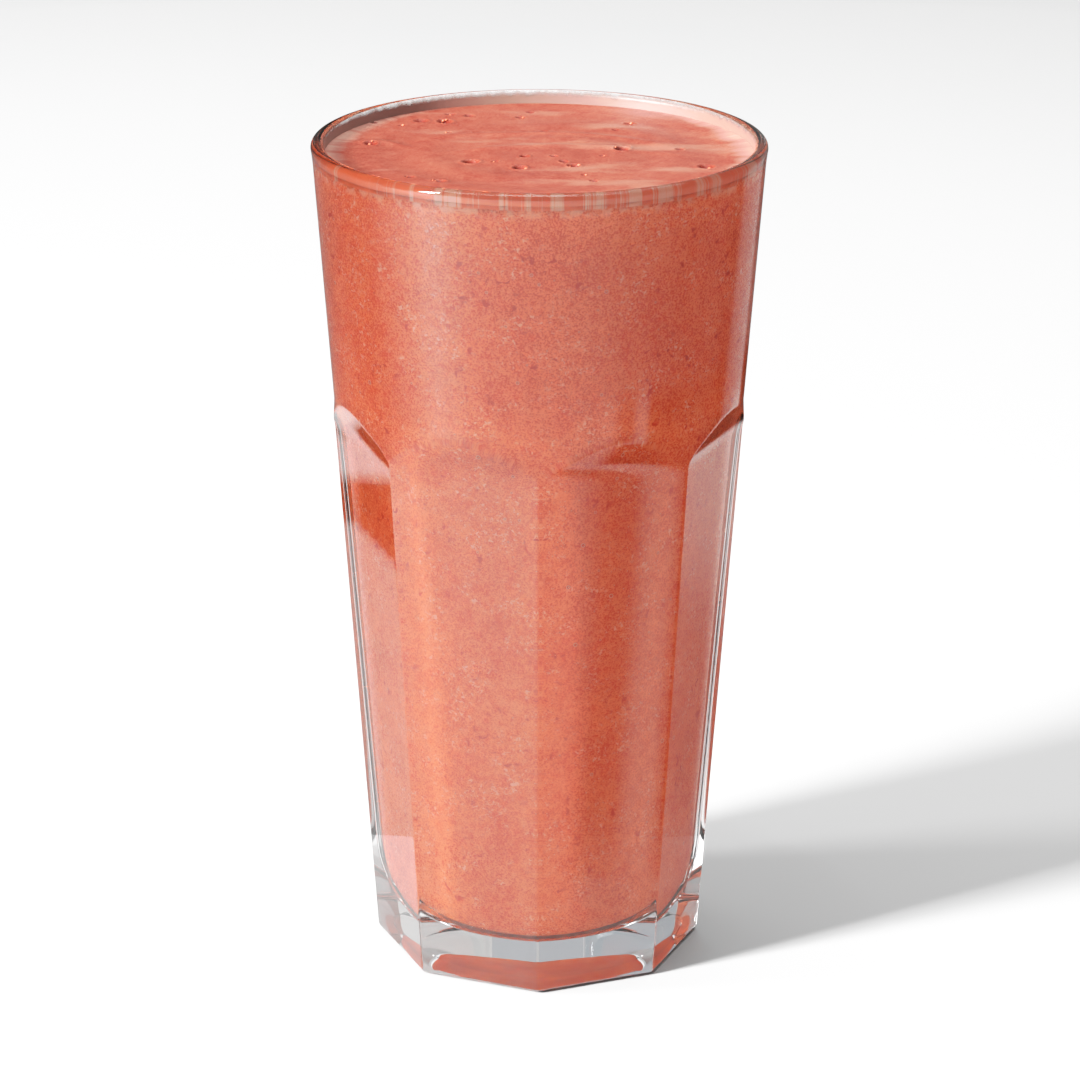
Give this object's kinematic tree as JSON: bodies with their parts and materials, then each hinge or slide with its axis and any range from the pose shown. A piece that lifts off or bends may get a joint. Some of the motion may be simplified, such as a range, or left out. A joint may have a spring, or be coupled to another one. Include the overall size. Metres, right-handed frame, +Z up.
{
  "type": "strawberry smoothie",
  "caption": "Tall clear drinking glass, round at the rim and cut into flat arched panels below, filled nearly to the brim with a thick, frothy strawberry smoothie.",
  "frame": {"origin": "middle of the glass's foot, at the level on which it stands", "axes": "+Z up along the glass's axis; one ridge between two panels faces -Y, the front"},
  "size_m": [0.094, 0.094, 0.176],
  "materials": {
    "clear_glass": "clear polished tempered glass",
    "strawberry_smoothie": "opaque wet salmon-pink drink, frothy and finely speckled"
  },
  "bodies": {
    "root": {"glass": "clear_glass", "smoothie": "strawberry_smoothie"}
  },
  "joints": []
}
